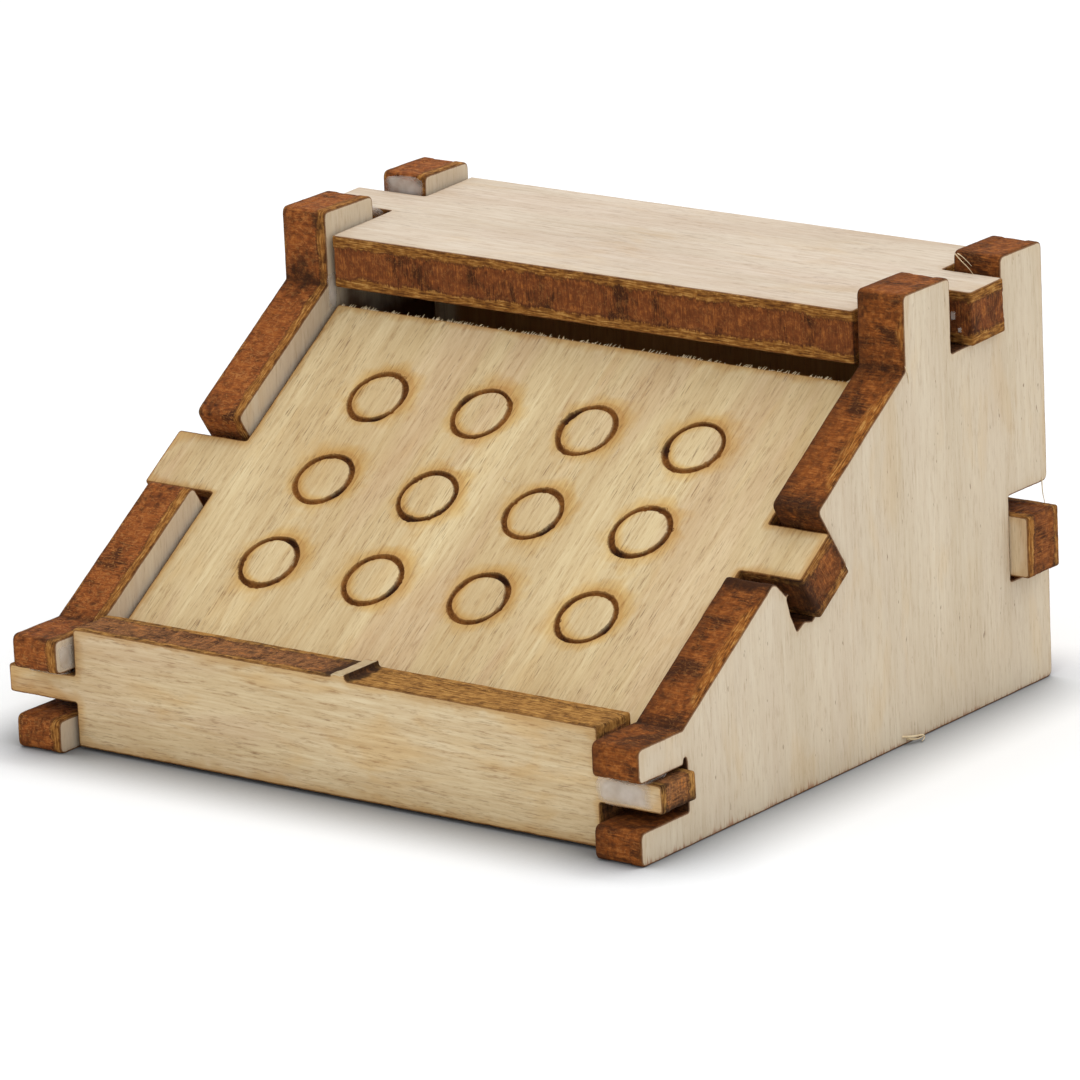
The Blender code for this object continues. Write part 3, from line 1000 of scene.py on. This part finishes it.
# %% Cut walls
def cut_wall(recipe, at, look):
    """The burnt wall of a cut, from the outer veneer to the inner one."""
    depth, burn = recipe.fact("depth"), recipe.fact("burn")
    fine = recipe.noise(at, (2.6, 2.6, 2.8), 5.0, 0.62, 0.3)
    blotch = recipe.noise(at, (0.50, 0.50, 0.35), 4.0, 0.62, 0.4)
    strokes = recipe.noise(at, (11.0, 11.0, 1.1), 3.0, 0.6)
    dashes = recipe.noise(at, (1.3, 1.3, 15.0), 3.0, 0.6)
    wave = recipe.noise(at, (0.7, 0.7, 0.5), 3.0, 0.6)
    hair = recipe.ridge(recipe.noise(at, (3.2, 3.2, 1.8), 2.0, 0.5, 0.8), 0.035)
    jitter = recipe.sum(recipe.swing(strokes, -0.03, 0.03), recipe.swing(wave, -0.05, 0.05))
    layer = recipe.sum(depth, jitter)
    shade = recipe.sum(recipe.swing(fine, 0.20, 0.60), recipe.swing(strokes, -0.08, 0.24))
    shade = recipe.sum(shade, recipe.times(recipe.swing(dashes, -0.5, 0.5), look["streaks"]))
    core = recipe.ramp(shade, (0.0, colour(66, 34, 15)), (0.5, look["core"]), (1.0, colour(186, 116, 54)))
    spots = recipe.sum(recipe.swing(blotch, 0.0, 1.0), recipe.swing(strokes, 0.14, -0.14))
    spots = recipe.times(recipe.eased(spots, look["spots"], look["spots"] + 0.45), 0.85)
    core = recipe.mixed(spots, core, colour(50, 26, 12))
    core = recipe.mixed(recipe.times(hair, look["hair"]), core, colour(190, 132, 74))
    tone = recipe.sum(recipe.swing(dashes, -0.15, 0.75), recipe.swing(fine, -0.1, 0.3))
    gold = recipe.ramp(tone, (0.0, colour(80, 46, 18)), (0.45, look["gold"]), (1.0, colour(200, 154, 86)))
    last = look["gold_from"]
    first = recipe.sum(recipe.times(recipe.fact("gold"), look["gold_climb"]), look["gold_to"])
    outer = recipe.eased(recipe.less(layer, first), 0.02, look["gold_fades"])
    golden = recipe.most(outer, recipe.eased(layer, last, last + 0.05))
    wall = recipe.mixed(recipe.times(golden, 0.92), core, gold)
    for place in (first, last):
        line = recipe.eased(recipe.apart(layer, place), 0.035, 0.0)
        wall = recipe.mixed(recipe.times(line, look["glue_line"]), wall, colour(60, 34, 16))
    # the wall gets darker towards its inner veneer
    hidden = recipe.eased(layer, 0.60, 1.0)
    wall = recipe.mixed(recipe.times(hidden, look["inner_char"]), wall, colour(64, 34, 16))
    ragged = recipe.sum(depth, recipe.swing(fine, -0.02, 0.02))
    rims = recipe.most(recipe.eased(ragged, 0.06, 0.0), recipe.eased(ragged, 0.94, 1.0))
    wall = recipe.mixed(recipe.times(rims, look["rims"]), wall, colour(74, 42, 20))
    char = recipe.sum(burn, recipe.sum(recipe.swing(blotch, 0.45, -0.45), recipe.swing(fine, 0.22, -0.22)))
    char = recipe.sum(char, recipe.times(recipe.fact("gold"), -0.20))
    wall = recipe.mixed(recipe.times(recipe.eased(char, 0.35, 1.25), 0.85), wall, BLACK)
    return wall, recipe.sum(fine, recipe.times(strokes, 0.6))


print("The blackest char is", np.round(BLACK[:3], 3), "in light values")

# %% [markdown]
# ## One material for each board
#
# The boards come from one sheet, but the light and the smoke treated them differently: the sides
# are greyer and calmer, the front is the most open-grained, and the sloped board is smoked the
# most. So one function makes them all, and a short list of settings tells them apart. The plain
# look comes first: the wood's pale, middle, warm and rosy colours, how strong each mark on it is,
# how far smoke and the painted inner shade reach, and the colours and borders of the veneers in the wall.

# %% The plain look
PLAIN = {
    "wood": shades((226, 208, 176), (217, 198, 164), (205, 184, 150), (204, 180, 158)),
    "rosy": 0.4, "fibres": 0.36, "hairs": 0.28, "pores": 0.30, "stain": 0.15, "specks": 0.0,
    "smoke": 0.35, "smoke_reach": 0.8, "rim_reach": 0.05, "licks": 0.0,
    # the hidden side is darkened away from its rims: painted shade of the closed case, with some smoke
    # stain
    "soot": colour(204, 156, 110), "inside": (0.9, 1.0), "soot_reach": (1.2, 2.8),
    "core": colour(122, 68, 31), "hair": 0.20, "spots": 0.50, "streaks": 0.0, "inner_char": 0.0,
    "gold": colour(150, 98, 42), "gold_to": 0.16, "gold_from": 0.80, "gold_climb": 0.0, "gold_fades": -0.05,
    "glue_line": 0.5, "rims": 0.35,
    "runs_up": False, "scores": False,
}
print(len(PLAIN), "settings")

# %% [markdown]
# The `wall` number decides where veneer ends and cut wall begins. The relief is only in the light:
# fibres are a few hundredths of a millimetre high, so a bump is enough.

# %% Plywood
DRY_WOOD_GLOSS = 0.12
RELIEF_HEIGHT = 0.03 * MM


def plywood(name, seed, **changes):
    """Plywood with the plain look, apart from the changes given."""
    look = {**PLAIN, **changes}
    recipe = Recipe(name)
    at = grain_place(recipe, look["runs_up"], (seed * 7.3, seed * 3.1, seed))
    wood, height = veneer(recipe, at, look)
    wood = smoked(recipe, wood, at, look)
    if look["scores"]:
        wood = scored(recipe, wood, at)
    wall, wall_height = cut_wall(recipe, at, look)
    on_wall = recipe.fact("wall")
    surface = recipe.surface.inputs
    recipe.tree.links.new(recipe.mixed(on_wall, wood, wall), surface["Base Color"])
    recipe.tree.links.new(recipe.swing(height, 0.78, 0.88), surface["Roughness"])
    surface["Specular IOR Level"].default_value = DRY_WOOD_GLOSS
    relief = recipe.sum(recipe.times(height, 0.5), recipe.times(recipe.times(wall_height, on_wall), 2.0))
    inputs = {"Strength": 0.4, "Distance": RELIEF_HEIGHT, "Height": relief}
    bump = recipe.add("Bump", inputs, result="Normal")
    recipe.tree.links.new(bump, surface["Normal"])
    print(name, "has", len(recipe.tree.nodes), "nodes")
    return recipe.material


# %% [markdown]
# Each board's changes to the plain look are short. The two sides share their wood, but the left
# one shows its hidden side, where the painted shade of the case's inside and some smoke stain are,
# and the right one its bright outer side.

# %% Finishes for the six boards
SIDE_WOOD = shades((211, 198, 175), (205, 191, 168), (198, 183, 158), (198, 181, 161))
finishes = {
    "left_side_panel": plywood(
        "left_side_birch", 1, runs_up=True, wood=SIDE_WOOD, fibres=0.22, pores=0.10, licks=0.7, smoke=0.1,
        # its inner face, inside the case, takes the darkest painted shade, with some smoke stain
        inside=(0.1, 0.0), soot=colour(120, 84, 58), core=colour(136, 74, 32), hair=0.4, rims=0.65,
        gold_to=0.20, gold_from=0.94),
    "right_side_panel": plywood(
        "right_side_birch", 2, runs_up=True, wood=SIDE_WOOD, rosy=0.2, fibres=0.22, pores=0.10, specks=0.6,
        licks=0.9, smoke=0.1, soot=colour(176, 126, 86), core=colour(130, 70, 26), spots=0.42, rims=0.65,
        inner_char=0.45, gold=colour(156, 94, 36), gold_to=0.06, gold_from=1.2, gold_climb=0.26,
        gold_fades=-0.16, glue_line=0.15),
    "front_board": plywood(
        "front_birch", 3, wood=shades((224, 206, 170), (216, 196, 158), (208, 186, 146), (207, 182, 152)),
        fibres=0.50, hairs=0.48, pores=0.35, stain=0.30, licks=0.4, smoke=0.5, core=colour(126, 84, 52),
        hair=0.4, streaks=0.6, gold=colour(158, 112, 54), gold_to=0.12, gold_climb=0.55),
    "sloped_panel": plywood(
        "slope_birch", 4, wood=shades((224, 206, 164), (212, 191, 149), (204, 180, 136), (204, 174, 144)),
        runs_up=True, scores=True, rosy=0.35, fibres=0.42, hairs=0.42, pores=0.6, smoke=0.6, spots=0.42,
        gold=colour(140, 90, 40)),
    "top_panel": plywood(
        "top_birch", 5, wood=shades((219, 206, 189), (213, 200, 182), (205, 191, 172), (206, 188, 170)),
        pores=0.4, smoke=0.1, core=colour(114, 62, 30), gold=colour(140, 92, 38), gold_to=0.19,
        gold_from=0.78),
    "back_panel": plywood("back_birch", 6, runs_up=True, pores=0.3, smoke=0.3, soot_reach=(1.0, 1.8)),
}
for name, piece in pieces.items():
    piece.data.materials.append(finishes[name])
    print(piece.name, "wears", finishes[name].name)

# %% [markdown]
# ## Dried glue
#
# White wood glue that was pressed out of the joints dried to thin milky films on a tab and between
# two fingers. It is shinier than wood and lets some of the wood through, less so in its middle,
# where it is thick: the film's `milky` number drives the alpha.

# %% Dried glue
def glue_finish():
    """Dried white glue: milky, a little see-through and shinier than wood."""
    recipe = Recipe("dried_glue")
    at = recipe.place()
    cloud = recipe.noise(at, (1.0, 1.0, 1.0), 3.0, 0.5)
    thin, thick = colour(206, 194, 180), colour(226, 218, 210)
    tone = recipe.ramp(recipe.swing(cloud, 0.0, 1.0), (0.0, thin), (1.0, thick))
    surface = recipe.surface.inputs
    recipe.tree.links.new(tone, surface["Base Color"])
    recipe.tree.links.new(recipe.swing(cloud, 0.45, 0.60), surface["Roughness"])
    milky = recipe.times(recipe.fact("milky"), recipe.swing(cloud, 0.50, 0.70))
    recipe.tree.links.new(milky, surface["Alpha"])
    surface["Specular IOR Level"].default_value = 0.25
    return recipe.material


GLUE = glue_finish()
print(GLUE.name, "has", len(GLUE.node_tree.nodes), "nodes")

# %% [markdown]
# A film is a flattened ball, squared a little and with a wavy surface, sunk into the wood so that
# only a skin stands out.

# %% A film of glue
def glue_film(name, board, place, size, seed):
    """A flattened wavy blob on a board, with its place and size in the board's drawing."""
    shape = bmesh.new()
    bmesh.ops.create_icosphere(shape, subdivisions=4, radius=1.0)
    thin = min(size)
    milky = []
    for vertex in shape.verts:
        wave = 1 + 0.20 * noise.noise(vertex.co * 1.5 + Vector((seed, 0, 0)))
        spread = [wave if side > thin else 1.0 for side in size]
        full = [math.copysign(abs(v) ** 0.6, v) for v in vertex.co]
        milky.append(math.prod(1 - abs(v) ** 4 for v, side in zip(full, size) if side > thin))
        vertex.co = Vector([c + w * v * s / 2 for c, w, v, s in zip(place, spread, full, size)]) * MM
    mesh = bpy.data.meshes.new(name)
    shape.to_mesh(mesh)
    shape.free()
    mesh.shade_smooth()
    mesh.attributes.new("milky", "FLOAT", "POINT").data.foreach_set("value", milky)
    mesh.materials.append(GLUE)
    film = bpy.data.objects.new(name, mesh)
    bpy.context.scene.collection.objects.link(film)
    film.matrix_world = board.matrix
    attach(film, "root")
    print(film.name, "is", np.round(np.array(film.dimensions) / MM, 2), "mm")


front, left, right = boards["front_board"], boards["left_side_panel"], boards["right_side_panel"]
top, slope = boards["top_panel"], boards["sloped_panel"]

# name, board, place in the board's drawing, size and seed
glue_film("glue_on_right_tab", front, (19.6, -0.10, 1.50), (3.7, 1.45, 0.07), 1.3)
glue_film("glue_under_right_finger", right, (-17.5, -8.02, 0.10), (2.4, 0.42, 2.70), 4.1)
glue_film("glue_on_left_finger", left, (-18.4, -7.05, 1.50), (1.2, 1.50, 0.08), 7.7)
glue_film("glue_under_left_finger", left, (-17.4, -8.02, 0.10), (2.4, 0.36, 2.70), 9.2)
glue_film("glue_on_top_tab", top, (20.9, -1.03, 0.10), (0.36, 0.12, 0.50), 2.9)
glue_film("glue_below_top_tab", top, (21.3, -1.03, -0.65), (0.26, 0.12, 0.30), 5.9)
glue_film("glue_in_left_top_notch", left, (11.0, 10.85, -0.05), (1.35, 1.30, 2.80), 3.7)
glue_film("glue_on_rear_finger", left, (15.15, 11.60, 0.05), (0.12, 1.35, 2.60), 8.3)
glue_film("glue_in_neck_corner", left, (6.30, 7.80, 1.50), (0.80, 2.20, 0.16), 6.1)

# %% [markdown]
# ## Loose fibres
#
# Where the veneer tore, pale fibres stand up. Each is a curve with a round bevel that thins out
# towards the tip, which is lighter and smoother than a mesh tube, and one object holds many.

# %% Torn fibre
def fibre_finish():
    """Pale torn wood fibre."""
    recipe = Recipe("torn_fibre")
    at = recipe.place()
    tone = recipe.swing(recipe.noise(at, (3.0, 3.0, 3.0)), 0.0, 1.0)
    shade = recipe.ramp(tone, (0.0, colour(196, 172, 134)), (1.0, colour(222, 204, 170)))
    recipe.tree.links.new(shade, recipe.surface.inputs["Base Color"])
    recipe.surface.inputs["Roughness"].default_value = 0.8
    recipe.surface.inputs["Specular IOR Level"].default_value = DRY_WOOD_GLOSS
    return recipe.material


FIBRE = fibre_finish()
TIP_SHARE = 0.3  # how thick a fibre is at its tip, as a share of its root


def fibres(name, board, strands, thickness):
    """Thin curved hairs on a board; each strand is a list of places in its drawing."""
    curve = bpy.data.curves.new(name, "CURVE")
    curve.dimensions = "3D"
    curve.bevel_depth = thickness / 2 * MM
    curve.bevel_resolution = 1
    curve.use_fill_caps = True
    for strand in strands:
        spline = curve.splines.new("NURBS")
        spline.points.add(len(strand) - 1)
        spline.use_endpoint_u, spline.order_u, spline.resolution_u = True, 3, 3
        for number, (point, place) in enumerate(zip(spline.points, strand)):
            point.co = (*(Vector(place) * MM), 1.0)
            point.radius = 1.0 - (1 - TIP_SHARE) * number / (len(strand) - 1)
    curve.materials.append(FIBRE)
    hairs = bpy.data.objects.new(name, curve)
    bpy.context.scene.collection.objects.link(hairs)
    hairs.matrix_world = board.matrix
    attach(hairs, "root")
    print(hairs.name, "has", len(strands), "strands")


# %% [markdown]
# The sloped board's upper edge was never trimmed, so a row of short hairs stands along it. Their
# places are drawn by a seeded random generator, so they are the same in every run.

# %% The torn upper edge
def torn_edge(board, count, seed):
    """Short hairs that stand up along a board's upper edge."""
    chance = np.random.default_rng(seed)
    line = board.outline[np.abs(board.outline[:, 1] - board.outline[:, 1].max()) < 0.1]
    strands = []
    for x in chance.uniform(line[:, 0].min() + 0.3, line[:, 0].max() - 0.3, count):
        reach, lean, lift = chance.uniform(0.12, 0.34), chance.normal(0, 0.06), chance.uniform(-0.06, 0.03)
        y, z = line[:, 1].mean() - 0.14, board.half - 0.04
        middle, tip = (x + lean / 2, y + reach / 2, z + 0.03), (x + lean, y + reach, z + lift)
        strands.append([(x, y, z), middle, tip])
    return strands


fibres("torn_slope_edge", slope, torn_edge(slope, count=260, seed=5), 0.08)

# %% [markdown]
# The few large splinters are listed one by one: at the rear of the top tab, over the back board's tab,
# in the corner of the neck, on the slope, and a curl at the foot of the right side.

# %% Splinters
fibres("splinters_on_right_side", right, [
    [(14.9, 12.3, -1.2), (14.5, 12.1, -0.6), (14.8, 11.6, -0.2), (14.6, 11.2, 0.3)],
    [(14.7, 12.4, -0.9), (14.2, 12.5, -0.3), (14.4, 11.9, 0.2)],
    [(18.7, -0.9, 1.5), (18.4, -1.6, 1.7), (18.8, -2.3, 1.6), (18.6, -3.0, 1.8)],
    [(5.95, 8.5, 1.45), (6.15, 8.0, 1.60), (6.2, 7.4, 1.50)],
], 0.07)
fibres("splinters_on_slope", slope, [
    [(0.3, 2.6, 1.48), (0.8, 2.2, 1.62), (1.2, 2.3, 1.66), (1.4, 1.9, 1.56)],
    [(6.2, 5.9, 1.48), (6.5, 5.4, 1.60), (6.3, 5.0, 1.58)],
    [(-3.1, 7.8, 1.48), (-2.8, 7.4, 1.62), (-2.9, 7.0, 1.54)],
], 0.05)
fibres("curl_under_right_side", right, [
    [(4.6, -11.9, 1.46), (5.2, -12.0, 1.85), (5.9, -12.0, 2.00), (6.1, -12.3, 1.95), (5.6, -12.3, 2.1)],
    [(5.0, -12.1, 1.50), (5.5, -12.3, 1.95), (6.3, -12.2, 1.80)],
], 0.14)

# %% [markdown]
# ## The table
#
# The case stands on plain white. A floor could be a box or a curved backdrop, but from above the
# horizon never shows, so one wide plane is enough. It is marked as stage, not as part of the case.
# So much light bounces round a light tent that the dark line under an edge is washed out. The
# ambient occlusion node, which sees how much of the sky a place has lost, paints it back in.

# %% Floor
def white_floor():
    """A wide pale floor at the height that the case stands on."""
    bpy.ops.mesh.primitive_plane_add(size=3.0, location=(0, 0, cad_box[0].z))
    floor = bpy.context.object
    floor.name = "floor"
    recipe = Recipe("white_floor")
    sky = recipe.add("AmbientOcclusion", {"Distance": 5.5 * MM}, result="AO")
    shade = recipe.ramp(sky, (0.45, (0.24, 0.25, 0.26, 1)), (1.0, (0.92, 0.93, 0.94, 1)))
    recipe.tree.links.new(shade, recipe.surface.inputs["Base Color"])
    recipe.surface.inputs["Roughness"].default_value = 0.9
    floor.data.materials.append(recipe.material)
    floor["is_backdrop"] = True
    print("The floor lies at", round(cad_box[0].z / MM, 2), "mm")


white_floor()

# %% [markdown]
# ## Light
#
# A small object is best shown in a light tent: white from all round, so that no burnt edge sinks
# into a hard shadow. The world gives that light, and one broad lamp above makes the top the
# brightest board.

# %% Light
def soft_room(strength):
    """White light from every side."""
    world = bpy.data.worlds.new("room")
    world.use_nodes = True
    world.node_tree.nodes["Background"].inputs["Color"].default_value = (1.0, 1.0, 1.0, 1)
    world.node_tree.nodes["Background"].inputs["Strength"].default_value = strength
    bpy.context.scene.world = world


def soft_lamp(name, place, size, power):
    """A white square lamp that looks at the case."""
    lamp = bpy.data.lights.new(name, "AREA")
    lamp.size = size
    lamp.energy = power
    holder = bpy.data.objects.new(name, lamp)
    bpy.context.scene.collection.objects.link(holder)
    holder.location = place
    holder.rotation_euler = (-Vector(place)).to_track_quat("-Z", "Y").to_euler()


soft_room(1.0)
soft_lamp("broad_lamp", (0.20, 0.25, 0.60), size=0.5, power=1.3)
print("One lamp of", round(bpy.data.lights["broad_lamp"].energy, 2), "W, and white light from all round")

# %% [markdown]
# ## Camera
#
# A long lens from far off keeps the boards' edges almost parallel, as in a close-up. The camera is
# placed by its direction from the case, and then rolled a little about its own line of sight.

# %% Camera
def long_lens_camera(azimuth, elevation, roll, distance, lens, aim):
    """A camera that looks at a point from this far off, rolled about its own line of sight."""
    camera = bpy.data.cameras.new("camera")
    camera.lens = lens
    camera.sensor_width = 36.0
    camera.clip_start, camera.clip_end = 0.01, 10.0
    holder = bpy.data.objects.new("camera", camera)
    bpy.context.scene.collection.objects.link(holder)
    turn, lift = math.radians(azimuth), math.radians(elevation)
    level = math.cos(lift)
    towards_camera = Vector((math.sin(turn) * level, -math.cos(turn) * level, math.sin(lift)))
    holder.location = aim + towards_camera * distance
    upright = (-towards_camera).to_track_quat("-Z", "Y")
    holder.rotation_mode = "QUATERNION"
    holder.rotation_quaternion = upright @ Quaternion((0, 0, 1), math.radians(roll))
    bpy.context.scene.camera = holder


AIM = (cad_box[0] + cad_box[1]) / 2 + Vector((0.94, -0.17, -2.46)) * MM
long_lens_camera(azimuth=37.45, elevation=16.27, roll=-2.49, distance=0.4631, lens=282.95, aim=AIM)
print("The camera stands at", np.round(np.array(bpy.context.scene.camera.location) / MM, 1), "mm")

bpy.context.scene.view_settings.view_transform = "Standard"
bpy.context.scene.view_settings.look = "None"

# %% [markdown]
# ## Sizes
#
# The box of the case with its looks and the box of the CAD model are both printed. The
# looks may not make the case bigger than its CAD model.

# %% Sizes
bpy.context.view_layer.update()
boxes = {"cad": cad_box, "visual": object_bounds()}
for name, box in boxes.items():
    print(name, "box", [tuple(np.round(np.array(corner) / MM, 2)) for corner in box])
